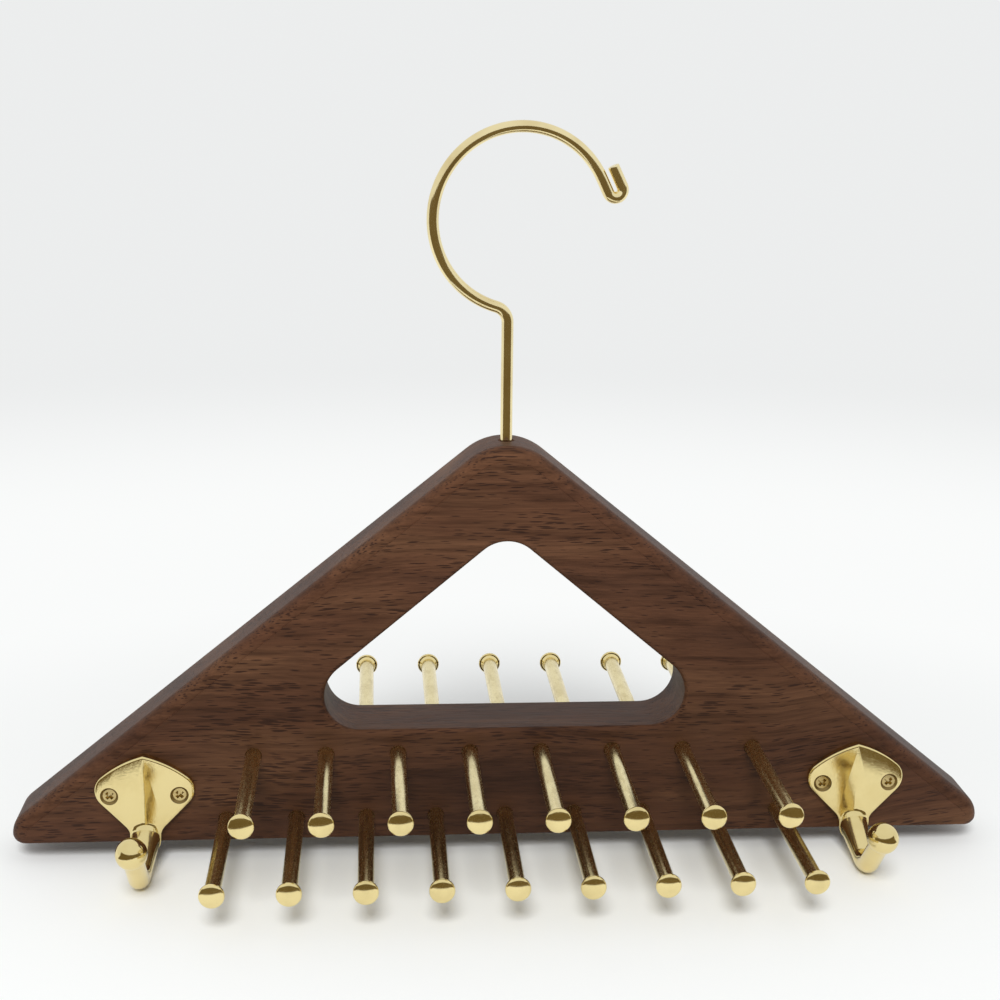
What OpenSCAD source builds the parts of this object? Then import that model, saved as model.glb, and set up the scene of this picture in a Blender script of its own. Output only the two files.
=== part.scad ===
// Tie hanger: a triangular hardwood board with a window, two rows of headed brass pegs on each
// face, a wire hook that swivels in the top of the board, and two ball-end belt hooks in front.
// X runs across the board, Y through it with the front facing -Y, and Z up. The origin lies under
// the middle of the board, level with the lowest point of the belt hooks.

/* [Board] */
// Overall width of the board across its rounded ends
board_w = 305; // [298:1:380]
// Thickness of the board
board_t = 24; // [22:0.5:32]
// Slope of the two upper sides, in degrees from level
side_slope = 39; // [38:0.5:41]
// Radius of the bend between each sloping side and the board's end
corner_r = 8; // [6:0.5:10]
// Radius of the lowest corners, which is also the height at which the board is widest
toe_r = 2.8; // [2:0.1:4]
// Radius of the top corner
apex_r = 18.5; // [14:0.5:22]
// Radius of the round-over along the two sloping sides, the top and the ends
edge_r = 4; // [1:0.25:4]
// Width of the bevel along the two bottom edges
bottom_ease = 1; // [0.5:0.25:2]

/* [Window] */
// Width of the window's base, measured between its sharp corners
window_w = 150; // [130:1:152]
// Slope of the window's two upper sides, in degrees from level
window_slope = 40; // [38:0.5:40.5]
// Height of the rail of wood left under the window
window_rail = 36; // [35:0.5:38]
// Radius of the window's three corners
window_r = 11; // [8:0.5:14]

/* [Pegs] */
// Number of pegs in the front upper and the back lower row
short_row = 8; // [4:2:8]
// Distance between pegs in the front upper and the back lower row
short_row_pitch = 22.2; // [20:0.2:24]
// Number of pegs in the front lower and the back upper row
long_row = 9; // [5:2:9]
// Distance between pegs in the front lower and the back upper row
long_row_pitch = 21.6; // [20:0.2:22.4]
// Height of the front upper row above the board's bottom edge
front_upper_z = 28.5; // [24:0.5:31]
// Height of the back upper row above the board's bottom edge
back_upper_z = 31; // [24:0.5:31.5]
// Height of both lower rows above the board's bottom edge
lower_z = 7.7; // [7:0.1:10]
// Diameter of a peg
peg_d = 4.8; // [4:0.1:5.4]
// Length of peg that stands out of the board, with its head
peg_out = 53.5; // [40:0.5:70]
// Depth of peg pressed into the board
peg_in = 9; // [6:0.5:10]
// Diameter of a peg's head
peg_head_d = 7.4; // [6.2:0.1:8]
// Thickness of the head's rim
peg_rim = 1; // [0.6:0.1:1.6]
// Height of the dome on the head
peg_dome = 0.9; // [0.4:0.1:1.4]
// Length of the cone under the head
peg_neck = 0.8; // [0.4:0.1:1.5]

/* [Wire hook] */
// Diameter of the hook's wire
wire_d = 3.6; // [3:0.1:4.4]
// Radius of the hook's ring, to the middle of the wire
ring_r = 26.9; // [22:0.1:34]
// Height of the ring's centre above the top of the board
ring_rise = 66.4; // [60:0.1:90]
// Distance sideways from the shank to the ring's centre
ring_offset = 4.1; // [0:0.1:8]
// Radius of the bend between the shank and the ring
neck_bend_r = 5; // [4:0.25:9]
// Angle at which the ring ends, in degrees above level
ring_end = 26; // [10:1:40]
// Length of straight wire between the ring and the fold at its tip
tip_in = 4.8; // [2:0.1:8]
// Radius of the fold at the tip, to the middle of the wire
fold_r = 2.3; // [2.3:0.05:3.5]
// Length of the folded-back end
tip_back = 6.8; // [3:0.1:9]
// Turn of the hook out of the board's plane as it stands, in degrees
hook_turn = 8; // [-20:1:20]
// Gap all round between the shank and its bore
shank_gap = 0.05; // [0.02:0.01:0.1]
// Diameter of the countersunk mouth of the bore
mouth_d = 5.6; // [5:0.1:8]

/* [Hook retention] */
// Diameter of the recess in the window's roof
recess_d = 9; // [8.4:0.2:12]
// Depth of the recess above the window's roof
recess_depth = 7; // [5:0.5:9]
// Thickness of the washer
washer_t = 1; // [0.6:0.1:1.6]
// Gap all round between the washer and the recess
washer_gap = 0.3; // [0.2:0.05:0.6]
// Diameter of the peened end of the shank
peen_d = 6; // [5.2:0.1:7]
// Height of the peened end
peen_h = 2; // [1.4:0.1:2.5]
// End play between the peened end and the washer
end_play = 0.1; // [0.05:0.05:0.4]

/* [Belt hooks] */
// Distance from the end of the board to the middle of each belt hook
belt_hook_inset = 41.5; // [40:0.5:42.5]
// Height of the belt hook's screws above the board's bottom edge
belt_hook_z = 16.8; // [16:0.1:19]
// Outward splay of each belt hook, in degrees
splay = 0; // [0:0.5:4]
// Width of the plate
plate_w = 30.6; // [28:0.2:31.5]
// Height of the plate's peak above its screws
plate_peak = 13.1; // [12:0.1:14]
// Radius of the plate's two bowed upper sides
bow_r = 36; // [30:1:60]
// Thickness of the plate at its sides
plate_edge_t = 1.9; // [1.5:0.1:2.6]
// Extra thickness of the plate along its middle ridge
plate_ridge = 1.3; // [0.6:0.1:2]
// Radius of each rounded side of the plate
lobe_r = 5.8; // [5:0.1:7]
// Height of the middle of the rounded sides above the screws
lobe_rise = 1.4; // [0:0.1:3]
// Radius of the hollow curve between a rounded side and the neck
flank_r = 5; // [3:0.25:6]
// Half width of the neck and radius of the plate's foot, where the arm leaves it
neck_r = 4.7; // [4.2:0.1:5.2]
// Distance of the neck's middle from the board's face
neck_out = 1; // [0.5:0.1:2]
// Diameter of the arm
arm_d = 6.2; // [5:0.1:7]
// Radius of the arm's bend, to the middle of the arm
arm_bend_r = 7.3; // [6:0.1:9]
// Distance from the board's face to the middle of the bend
arm_bend_out = 16.4; // [14:0.2:20]
// Drop from the screws to the lowest point of the arm
arm_drop = 23; // [22.5:0.1:26]
// Diameter of the ball
ball_d = 9.4; // [8:0.1:11]
// Distance from the board's face to the middle of the ball
ball_out = 33; // [31:0.5:38]
// Drop from the screws to the middle of the ball
ball_drop = 4.8; // [2:0.1:7]

/* [Screws] */
// Distance from each screw to the side of the plate
screw_margin = 4.65; // [4.4:0.05:5.2]
// Diameter of a screw's shank
screw_d = 2.8; // [2.4:0.1:3]
// Diameter of a screw's head
screw_head_d = 4.5; // [4:0.1:5]
// Length of a screw below the plate's back
screw_in = 13; // [8:0.5:16]
// Diameter of the mouth of a screw's countersunk seat
seat_d = 5.6; // [5.3:0.1:6]
// Gap all round between a screw's head and its seat
seat_gap = 0.05; // [0.02:0.01:0.1]
// Width of each slot of the cross in a screw's head
cross_w = 0.9; // [0.6:0.1:1]
// Length of each slot of the cross
cross_span = 2.5; // [2:0.1:3]
// Depth of the cross
cross_depth = 0.9; // [0.5:0.1:1]

/* [Hidden] */
$fn = 72;
hull_fn = 48;
edge_fn = 32;
peg_r = peg_d / 2;
peg_head_r = peg_head_d / 2;
wire_r = wire_d / 2;
arm_r = arm_d / 2;
ball_r = ball_d / 2;
screw_r = screw_d / 2;
screw_head_r = screw_head_d / 2;
screw_x = plate_w / 2 - screw_margin;
seat_r = seat_d / 2;
lip = 1;

// Extra radius of every second length of wire or rod over the next, and how far the thinner
// length runs into the thicker, so that the lengths join into one piece
swell = 0.01;
lap = 0.05;

// Outline of the board: the centres of its rounded corners, in X and in height over its bottom edge,
// and where the sloping sides would meet the line of the bottom edge and each other
corner_x = board_w / 2 - corner_r;
toe_x = board_w / 2 - toe_r;
sharp_x = corner_x + (toe_r + corner_r / cos(side_slope)) / tan(side_slope);
sharp_h = sharp_x * tan(side_slope);
apex_z = sharp_h - apex_r / cos(side_slope);
board_top = apex_z + apex_r;

// Outline of the window
window_half = window_w / 2;
window_corner_x = window_half - window_r / tan(window_slope / 2);
window_corner_z = window_rail + window_r;
window_apex_z = window_corner_z + window_corner_x * tan(window_slope);
window_side_run = window_corner_x / cos(window_slope);
window_roof = window_apex_z + window_r;

// Places of the belt hooks, and the height of the board that puts their lowest point at Z 0
belt_hook_x = board_w / 2 - belt_hook_inset;
arm_mid_drop = arm_drop - arm_r;
board_z = arm_mid_drop * cos(splay) + arm_r - belt_hook_z;

// Hook retention, as heights over the board's bottom edge
recess_top = window_roof + recess_depth;
washer_low = recess_top - washer_t;
peen_top = washer_low - end_play;

// The ring and its lower bend
ring_z = board_top + ring_rise;
bend_z = ring_z - sqrt(pow(ring_r + neck_bend_r, 2) - pow(ring_offset + neck_bend_r, 2));
bend_turn = atan2(ring_z - bend_z, ring_offset + neck_bend_r);

// Outline of a belt hook's plate, with its screws on the line Y 0. Each side bows from the peak to
// a shoulder, goes round to a straight flank at 45 degrees, and through a hollow curve to the neck.
flank_slope = 45;
bow_steps = 8;
peak = [0, plate_peak];
lobe = [plate_w / 2 - lobe_r, lobe_rise];
to_peak = peak - lobe;
bow_over_lobe = bow_r - lobe_r;
bow_along = (bow_r * bow_r - bow_over_lobe * bow_over_lobe - to_peak * to_peak) / (2 * bow_over_lobe);
shoulder = atan2(to_peak[1], to_peak[0]) - acos(bow_along / norm(to_peak));
bow_centre = lobe - polar(bow_over_lobe, shoulder);
bow_turn = atan2(plate_peak - bow_centre[1], -bow_centre[0]) - shoulder;
flank_start = lobe + polar(lobe_r, -flank_slope);
neck_corner = [neck_r, flank_start[1] - (flank_start[0] - neck_r) * tan(flank_slope)];
flank_run = flank_r * tan(flank_slope / 2);
flank_end = neck_corner - [0, flank_run];

// The arm of a belt hook, in a side view: distance from the board, and height over the screws
arm_bend = [arm_bend_out, arm_bend_r - arm_mid_drop];
neck_point = [neck_out, flank_end[1]];
ball_point = [ball_out, -ball_drop];
back_angle = tangent_angle(arm_bend, neck_point, arm_bend_r, 1);
front_angle = tangent_angle(arm_bend, ball_point, arm_bend_r, -1);
arm_turn = (front_angle - back_angle + 360) % 360;

// Pegs in a row, with the row centred on X 0
short_row_x = [for (i = [0 : short_row - 1]) (i - (short_row - 1) / 2) * short_row_pitch];
long_row_x = [for (i = [0 : long_row - 1]) (i - (long_row - 1) / 2) * long_row_pitch];

short_row_numbers = [for (i = [1 : short_row]) i];
long_row_numbers = [for (i = [1 : long_row]) i];

// Angle, seen from a circle's centre, of the point where a line from p touches the circle
function tangent_angle(centre, p, r, side) =
    let (d = p - centre)
    atan2(d[1], d[0]) + side * acos(r / norm(d));

function polar(r, a) = [r * cos(a), r * sin(a)];

// Stands a flat outline upright, with its thickness centred on the middle of the board
module upright(thickness) {
    translate([0, thickness / 2, 0])
        rotate([90, 0, 0])
            linear_extrude(thickness)
                children();
}

// A disc with a rounded rim, which makes a corner of the board
module corner_disc(centre, r) {
    flat = board_t - 2 * edge_r;
    translate([centre[0], 0, centre[1]])
        rotate([90, 0, 0])
            rotate_extrude()
                intersection() {
                    translate([0, -board_t / 2])
                        square([r, board_t]);
                    hull()
                        for (side = [-1, 1])
                            translate([r - edge_r, side * flat / 2])
                                circle(edge_r, $fn = edge_fn);
                }
}

// The upper half of the disc at one end of the board
module corner_half(x) {
    intersection() {
        corner_disc([x, toe_r], corner_r, $fn = hull_fn);
        translate([x - corner_r, -board_t / 2, toe_r])
            cube([2 * corner_r, board_t, corner_r]);
    }
}

// A round bar through the board, which makes one of its lowest corners
module toe_bar(x, thickness, r) {
    translate([x, 0, toe_r])
        rotate([90, 0, 0])
            cylinder(h = thickness, r = r, center = true, $fn = hull_fn);
}

// The board before anything is cut, wrapped tightly round its corners. The narrower bars keep the
// bottom edges square but for a small bevel.
module board_blank() {
    flat = board_t - 2 * edge_r;
    hull() {
        for (side = [-1, 1]) {
            corner_half(side * corner_x);
            toe_bar(side * toe_x, flat, toe_r);
            toe_bar(side * (toe_x + bottom_ease - edge_r), board_t, toe_r - bottom_ease);
        }
        corner_disc([0, apex_z], apex_r, $fn = hull_fn);
    }
}

// The right half of the window, with a little over the plane X 0
module half_window() {
    through = board_t + 2 * lip;
    inward = 2 * lip;
    upright(through)
        polygon([
            [-lip, window_corner_z],
            [window_corner_x, window_corner_z],
            [0, window_apex_z],
            [-lip, window_apex_z]
        ]);
    translate([window_corner_x, 0, window_corner_z]) {
        rotate([90, 0, 0])
            cylinder(h = through, r = window_r, center = true);
        translate([-window_corner_x - lip, -through / 2, -window_r])
            cube([window_corner_x + lip, through, window_r + inward]);
        rotate([0, window_slope - 180, 0]) {
            translate([0, -through / 2, -window_r])
                cube([window_side_run, through, window_r + inward]);
            translate([window_side_run, 0, 0])
                rotate([90, 0, 0])
                    cylinder(h = through, r = window_r, center = true);
        }
    }
}

// Puts a piece that points along +Z on the board's face, so that it points out of that face.
// Side -1 is the front and 1 is the back, and z is the height over the board's bottom edge.
module on_face(side, x, z) {
    translate([x, side * board_t / 2, board_z + z])
        rotate([-side * 90, 0, 0])
            children();
}

module peg_hole() {
    translate([0, 0, -peg_in])
        cylinder(h = peg_in + lip, r = peg_r);
}

module hook_bore() {
    mouth_r = mouth_d / 2;
    bore_r = wire_r + shank_gap;
    mouth_depth = mouth_r - bore_r;
    translate([0, 0, board_z + recess_top - lip])
        cylinder(h = board_top - recess_top + 2 * lip, r = bore_r);
    translate([0, 0, board_z + board_top - mouth_depth])
        cylinder(h = mouth_depth + lip, r1 = bore_r, r2 = mouth_r + lip);
    translate([0, 0, board_z + window_apex_z])
        cylinder(h = recess_top - window_apex_z, d = recess_d);
}

module board() {
    color("saddlebrown")
        difference() {
            translate([0, 0, board_z])
                board_blank();
            for (turn = [0, 180])
                translate([0, 0, board_z])
                    rotate([0, 0, turn])
                        half_window();
            hook_bore();
            for (x = short_row_x) {
                on_face(-1, x, front_upper_z)
                    peg_hole();
                on_face(1, x, lower_z)
                    peg_hole();
            }
            for (x = long_row_x) {
                on_face(-1, x, lower_z)
                    peg_hole();
                on_face(1, x, back_upper_z)
                    peg_hole();
            }
            for (side = [-1, 1])
                for (place = [-1, 1])
                    on_belt_hook(side)
                        translate([place * screw_x, 0, -screw_in])
                            cylinder(h = screw_in + lip, r = screw_r);
        }
}

// A headed peg, pointing along +Z out of the board's face
module peg() {
    rim_low = peg_out - peg_dome - peg_rim;
    dome_r = (peg_head_r * peg_head_r + peg_dome * peg_dome) / (2 * peg_dome);
    color("gold") {
        translate([0, 0, -peg_in])
            cylinder(h = peg_in + rim_low, r = peg_r);
        translate([0, 0, rim_low - peg_neck])
            cylinder(h = peg_neck, r1 = peg_r, r2 = (peg_r + peg_head_r) / 2);
        translate([0, 0, rim_low])
            cylinder(h = peg_rim, r = peg_head_r);
        intersection() {
            translate([0, 0, peg_out - dome_r])
                sphere(dome_r);
            translate([0, 0, rim_low])
                cylinder(h = peg_rim + peg_dome + lip, r = peg_head_r);
        }
    }
}

// A length of wire of radius r, bent round a centre in the upright plane, with a lap at each end
module wire_bend(centre, bend_r, from, turn, r, overlap) {
    lap_angle = overlap / bend_r * 180 / PI;
    translate([centre[0], 0, centre[1]])
        rotate([90, 0, 0])
            rotate([0, 0, from - lap_angle])
                rotate_extrude(angle = turn + 2 * lap_angle)
                    translate([bend_r, 0])
                        circle(r);
}

// A straight length of wire of radius r in the upright plane, with a lap at its far end
module wire_straight(from, to, r, overlap) {
    run = to - from;
    translate([from[0], 0, from[1]])
        rotate([0, atan2(run[0], run[1]), 0])
            cylinder(h = norm(run) + overlap, r = r);
}

// The hook from its peened end up, in lengths that are by turns thin and thick
module wire_hook() {
    ring = [ring_offset, ring_z];
    down = polar(1, ring_end - 90);
    out = polar(1, ring_end);
    tip_start = ring + ring_r * out;
    fold_start = tip_start + tip_in * down;
    fold = fold_start + fold_r * out;
    fold_end = fold + fold_r * out;
    peen_r = peen_d / 2;
    thick_r = wire_r + swell;
    color("gold")
        translate([0, 0, board_z])
            rotate([0, 0, hook_turn]) {
                wire_straight([0, peen_top - lap], [0, bend_z], wire_r, lap);
                wire_bend([-neck_bend_r, bend_z], neck_bend_r, 0, bend_turn, thick_r, 0);
                wire_bend(ring, ring_r, ring_end, bend_turn + 180 - ring_end, wire_r, lap);
                wire_straight(tip_start, fold_start, thick_r, 0);
                wire_bend(fold, fold_r, ring_end + 180, 180, wire_r, lap);
                wire_straight(fold_end, fold_end - tip_back * down, thick_r, 0);
                translate([0, 0, peen_top - peen_h / 2])
                    cylinder(h = peen_h / 2, r = peen_r);
                translate([0, 0, peen_top - peen_h])
                    cylinder(h = peen_h / 2, r1 = wire_r, r2 = peen_r);
            }
}

module hook_washer() {
    color("silver")
        translate([0, 0, board_z + washer_low])
            difference() {
                cylinder(h = washer_t, r = recess_d / 2 - washer_gap);
                translate([0, 0, -lip])
                    cylinder(h = washer_t + 2 * lip, r = wire_r + shank_gap);
            }
}

// Puts a piece at a belt hook's screw line, with +Z out of the board's front and +Y up.
// Side -1 is the left hook and 1 is the right hook, and their lower ends splay outwards.
module on_belt_hook(side) {
    on_face(-1, side * belt_hook_x, belt_hook_z)
        rotate([0, 0, side * splay])
            children();
}

// Thickness of the plate at a distance from its middle ridge
function plate_thickness(x) = plate_edge_t + plate_ridge * (1 - abs(x) / (plate_w / 2));

// The plate's full thickness in its outline: two rounded sides, a peak, a waisted neck and a foot
module plate_blank() {
    depth = plate_edge_t + plate_ridge + lip;
    shoulder_point = lobe + polar(lobe_r - swell, shoulder);
    flank_point = lobe + polar(lobe_r - swell, -flank_slope);
    hollow_point = neck_corner + polar(flank_run, flank_slope);
    hollow = flank_end + [flank_r, 0];
    bow = [for (i = [bow_steps - 1 : -1 : 1]) bow_centre + polar(bow_r, shoulder + bow_turn * i / bow_steps)];
    right = concat(bow, [shoulder_point, lobe, flank_point, hollow_point, hollow, flank_end]);
    left = [for (i = [len(right) - 1 : -1 : 0]) [-right[i][0], right[i][1]]];
    difference() {
        union() {
            linear_extrude(depth)
                polygon(concat([peak], right, left));
            for (side = [-1, 1])
                translate([side * lobe[0], lobe[1], 0])
                    cylinder(h = depth, r = lobe_r);
            translate([0, flank_end[1], 0])
                cylinder(h = depth, r = neck_r);
        }
        for (side = [-1, 1])
            translate([side * hollow[0], hollow[1], -lip])
                cylinder(h = depth + 2 * lip, r = flank_r + swell);
    }
}

// The plate with its two shallow front facets
module plate() {
    half = plate_w / 2 + lip;
    intersection() {
        plate_blank();
        translate([0, plate_peak + lip, 0])
            rotate([90, 0, 0])
                linear_extrude(plate_peak + arm_drop)
                    polygon([
                        [-half, 0],
                        [half, 0],
                        [half, plate_thickness(half)],
                        [0, plate_thickness(0)],
                        [-half, plate_thickness(half)]
                    ]);
    }
}

// The arm: a taper out of the plate's foot to the bend, the bend, and a straight rise to the ball
module arm() {
    back_end = arm_bend + polar(arm_bend_r, back_angle);
    front_end = arm_bend + polar(arm_bend_r, front_angle);
    arm_straight(neck_point, back_end, neck_r - lap, arm_r - swell);
    translate([0, arm_bend[1], arm_bend[0]])
        rotate([0, -90, 0])
            rotate([0, 0, back_angle])
                rotate_extrude(angle = arm_turn)
                    translate([arm_bend_r, 0])
                        circle(arm_r);
    arm_straight(ball_point, front_end, arm_r - swell, arm_r - swell);
    translate([0, ball_point[1], ball_point[0]])
        sphere(ball_r);
}

// A straight length of the arm, which runs a lap past its far end
module arm_straight(from, to, r1, r2) {
    run = to - from;
    translate([0, from[1], from[0]])
        rotate([-atan2(run[1], run[0]), 0, 0])
            cylinder(h = norm(run) + lap, r1 = r1, r2 = r2);
}

module belt_hook() {
    reach = ball_out + ball_d;
    color("gold")
        difference() {
            union() {
                plate();
                arm();
            }
            translate([-plate_w, -arm_drop - lip, -reach])
                cube([2 * plate_w, arm_drop + plate_peak + 2 * lip, reach]);
            for (place = [-1, 1])
                translate([place * screw_x, 0, 0])
                    screw_seat();
        }
}

// Heights over the plate's back: the seat's mouth, where the plate is thinnest beside a screw, and
// the top of a screw's head, which stops in the seat's cone of 45 degrees
seat_face = plate_thickness(screw_x + seat_r);
screw_face = seat_face - (seat_r - seat_gap - screw_head_r);

// The countersunk hole that a screw passes through
module screw_seat() {
    hole_r = screw_r + seat_gap;
    cone_h = seat_r - hole_r;
    translate([0, 0, -lip])
        cylinder(h = seat_face + lip, r = hole_r);
    translate([0, 0, seat_face - cone_h])
        cylinder(h = cone_h, r1 = hole_r, r2 = seat_r);
    translate([0, 0, seat_face])
        cylinder(h = plate_ridge + plate_edge_t, r = seat_r);
}

// A countersunk wood screw with a cross in its head, pointing out of the board along +Z
module screw() {
    cone_h = screw_head_r - screw_r;
    point = screw_d;
    color("goldenrod")
        difference() {
            union() {
                translate([0, 0, screw_face - cone_h])
                    cylinder(h = cone_h, r1 = screw_r, r2 = screw_head_r);
                translate([0, 0, point - screw_in])
                    cylinder(h = screw_in - point + screw_face - cone_h, r = screw_r);
                translate([0, 0, -screw_in])
                    cylinder(h = point, r1 = 0, r2 = screw_r);
            }
            for (turn = [45, 135])
                translate([0, 0, screw_face - cross_depth])
                    rotate([0, 0, turn])
                        translate([-cross_span / 2, -cross_w / 2, 0])
                            cube([cross_span, cross_w, cross_depth + lip]);
        }
}

module belt_hook_screw(side, place) {
    on_belt_hook(side)
        translate([place * screw_x, 0, 0])
            screw();
}

board();
wire_hook();
hook_washer();
for (i = short_row_numbers) {
    on_face(-1, short_row_x[i - 1], front_upper_z) peg();
    on_face(1, short_row_x[i - 1], lower_z) peg();
}
for (i = long_row_numbers) {
    on_face(-1, long_row_x[i - 1], lower_z) peg();
    on_face(1, long_row_x[i - 1], back_upper_z) peg();
}
on_belt_hook(-1) belt_hook();  // left_belt_hook
on_belt_hook(1) belt_hook();  // right_belt_hook
belt_hook_screw(-1, -1);  // left_hook_screw_1
belt_hook_screw(-1, 1);  // left_hook_screw_2
belt_hook_screw(1, -1);  // right_hook_screw_1
belt_hook_screw(1, 1);  // right_hook_screw_2
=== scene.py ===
# Tie hanger of dark hardwood, with two rows of headed brass pegs on each face, a brass wire hook
# that swivels in its top, and two brass belt hooks in front. Everything is in metres and in the
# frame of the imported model: X across the board, Y through it with the front at -Y, Z up.
import math

import bmesh
import bpy
from mathutils import Matrix, Vector


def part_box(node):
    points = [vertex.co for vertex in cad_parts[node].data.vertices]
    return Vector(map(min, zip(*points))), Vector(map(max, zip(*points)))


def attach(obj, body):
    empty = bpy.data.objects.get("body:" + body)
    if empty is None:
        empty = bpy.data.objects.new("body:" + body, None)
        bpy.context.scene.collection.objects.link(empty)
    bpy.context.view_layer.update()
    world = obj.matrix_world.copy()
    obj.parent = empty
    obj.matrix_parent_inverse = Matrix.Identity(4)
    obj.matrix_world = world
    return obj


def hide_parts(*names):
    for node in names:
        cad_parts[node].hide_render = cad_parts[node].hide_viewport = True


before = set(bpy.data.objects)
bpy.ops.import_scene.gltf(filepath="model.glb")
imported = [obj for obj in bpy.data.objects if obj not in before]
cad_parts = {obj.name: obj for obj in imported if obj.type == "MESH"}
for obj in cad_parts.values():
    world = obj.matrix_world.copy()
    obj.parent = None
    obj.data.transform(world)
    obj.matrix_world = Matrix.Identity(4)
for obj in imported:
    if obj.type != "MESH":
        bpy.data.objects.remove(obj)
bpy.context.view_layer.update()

board_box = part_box("board")
board_low = board_box[0].z
board_half = (board_box[1].y - board_box[0].y) / 2


# Camera.
# The photograph was taken from in front of the hanger, a little to its left and above its middle,
# with a long lens. The place and the turn were solved from the rows of pegs and the outlines.
camera_place = (-0.03974, -0.50949, 0.23609)
camera_lens = 61.68
camera_yaw = 0.0746
camera_pitch = 0.2380
camera_roll = 0.0112
camera_sensor = 36
camera_clip = 0.01


def put(name, data):
    """A new object in the scene."""
    piece = bpy.data.objects.new(name, data)
    bpy.context.scene.collection.objects.link(piece)
    return piece


camera_data = bpy.data.cameras.new("camera")
camera_data.lens = camera_lens
camera_data.sensor_width = camera_sensor
camera_data.clip_start = camera_clip
camera = put("camera", camera_data)
camera.location = camera_place
camera.rotation_euler = (
    Matrix.Rotation(-camera_yaw, 3, "Z")
    @ Matrix.Rotation(math.pi / 2 - camera_pitch, 3, "X")
    @ Matrix.Rotation(camera_roll, 3, "Z")
).to_euler()
bpy.context.scene.camera = camera


# White floor and soft light.
# A sheet of white paper lies under the hanger and fades into a white room that lights it evenly. A
# soft lamp shines from in front and above and doesn't show in reflections. The dim side of the
# studio shows only in them: it begins on the floor before the pegs and stands up behind the camera.
room_white = (0.84, 0.85, 0.85, 1)
paper_white = (0.94, 0.955, 0.95, 1)
paper_radius = 3.0
near_white = (0.955, 0.965, 0.96, 1)
shade_centre = (0, -0.15, 0)
shade_start = 0.26
shade_end = 0.42
fade_start = 0.57
fade_end = 1.1
room_light = 0.56
lamp_size = 0.8
lamp_place = (-0.2, -1.6, 1.5)
lamp_watts = 33.0
dim_brown = (0.16, 0.119, 0.055, 1)
dim_near = 0.165
dim_far = 1.2
dim_height = 0.42
dim_lift = 0.002
dim_spread = math.radians(150)
dim_steps = 24
floor_sides = 64


def add_node(tree, kind, values=None, **settings):
    """A shader node with its settings; a value that is another node's socket is linked."""
    node = tree.nodes.new(kind)
    for name, value in settings.items():
        setattr(node, name, value)
    for key, value in (values or {}).items():
        if isinstance(value, bpy.types.NodeSocket):
            tree.links.new(value, node.inputs[key])
        else:
            node.inputs[key].default_value = value
    return node


def new_material(name):
    """A material with an empty node tree."""
    material = bpy.data.materials.new(name)
    material.use_nodes = True
    material.node_tree.nodes.clear()
    return material


def sums(tree, operation, first, second):
    """One Math node of two values."""
    return add_node(tree, "ShaderNodeMath", {0: first, 1: second}, operation=operation).outputs[0]


def stretch(tree, value, reach, result=(0.0, 1.0), **settings):
    """A value moved from one (low, high) range to another."""
    values = {"From Min": reach[0], "From Max": reach[1], "To Min": result[0], "To Max": result[1]}
    return add_node(tree, "ShaderNodeMapRange", {"Value": value, **values}, **settings).outputs[0]


def blend(tree, amount, first, second, mode="MIX"):
    """One colour mixed into another."""
    values = {0: amount, 6: first, 7: second}
    return add_node(tree, "ShaderNodeMix", values, data_type="RGBA", blend_type=mode).outputs[2]


def seen_as_white(tree):
    """1 for the rays that show a surface itself: from the camera, in gloss and through glass."""
    path = add_node(tree, "ShaderNodeLightPath").outputs
    either = sums(tree, "MAXIMUM", path["Is Camera Ray"], path["Is Glossy Ray"])
    return sums(tree, "MAXIMUM", either, path["Is Transmission Ray"])


def from_bmesh(bm, name):
    """A finished bmesh as an object at the origin."""
    mesh = bpy.data.meshes.new(name)
    bm.to_mesh(mesh)
    bm.free()
    return put(name, mesh)


bpy.context.scene.view_settings.view_transform = "Standard"
world = bpy.data.worlds.new("white_room")
world.use_nodes = True
bpy.context.scene.world = world
room = world.node_tree
room.nodes.clear()
room_seen = add_node(room, "ShaderNodeBackground", {"Color": room_white, "Strength": 1.0})
room_glow = add_node(room, "ShaderNodeBackground", {"Color": (1, 1, 1, 1), "Strength": room_light})
room_mix = add_node(
    room,
    "ShaderNodeMixShader",
    {0: seen_as_white(room), 1: room_glow.outputs[0], 2: room_seen.outputs[0]},
)
add_node(room, "ShaderNodeOutputWorld", {"Surface": room_mix.outputs[0]})

paper = new_material("white_paper")
sheet = paper.node_tree
sheet_place = add_node(sheet, "ShaderNodeTexCoord").outputs["Object"]
sheet_distance = add_node(
    sheet, "ShaderNodeVectorMath", {0: sheet_place, 1: shade_centre}, operation="DISTANCE"
).outputs["Value"]
smooth_steps = {"interpolation_type": "SMOOTHSTEP"}
sheet_shade = stretch(sheet, sheet_distance, (shade_start, shade_end), **smooth_steps)
sheet_fade = stretch(sheet, sheet_distance, (fade_start, fade_end), **smooth_steps)
sheet_seen = sums(sheet, "MULTIPLY", sheet_shade, seen_as_white(sheet))
sheet_tone = blend(sheet, sheet_fade, near_white, room_white)
sheet_white = add_node(sheet, "ShaderNodeBsdfDiffuse", {"Color": paper_white})
sheet_glow = add_node(sheet, "ShaderNodeEmission", {"Color": sheet_tone, "Strength": 1.0})
sheet_mix = add_node(
    sheet,
    "ShaderNodeMixShader",
    {0: sheet_seen, 1: sheet_white.outputs[0], 2: sheet_glow.outputs[0]},
)
add_node(sheet, "ShaderNodeOutputMaterial", {"Surface": sheet_mix.outputs[0]})

bm = bmesh.new()
bmesh.ops.create_circle(bm, cap_ends=True, segments=floor_sides, radius=paper_radius)
floor = from_bmesh(bm, "floor")
floor.data.materials.append(paper)

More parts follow.
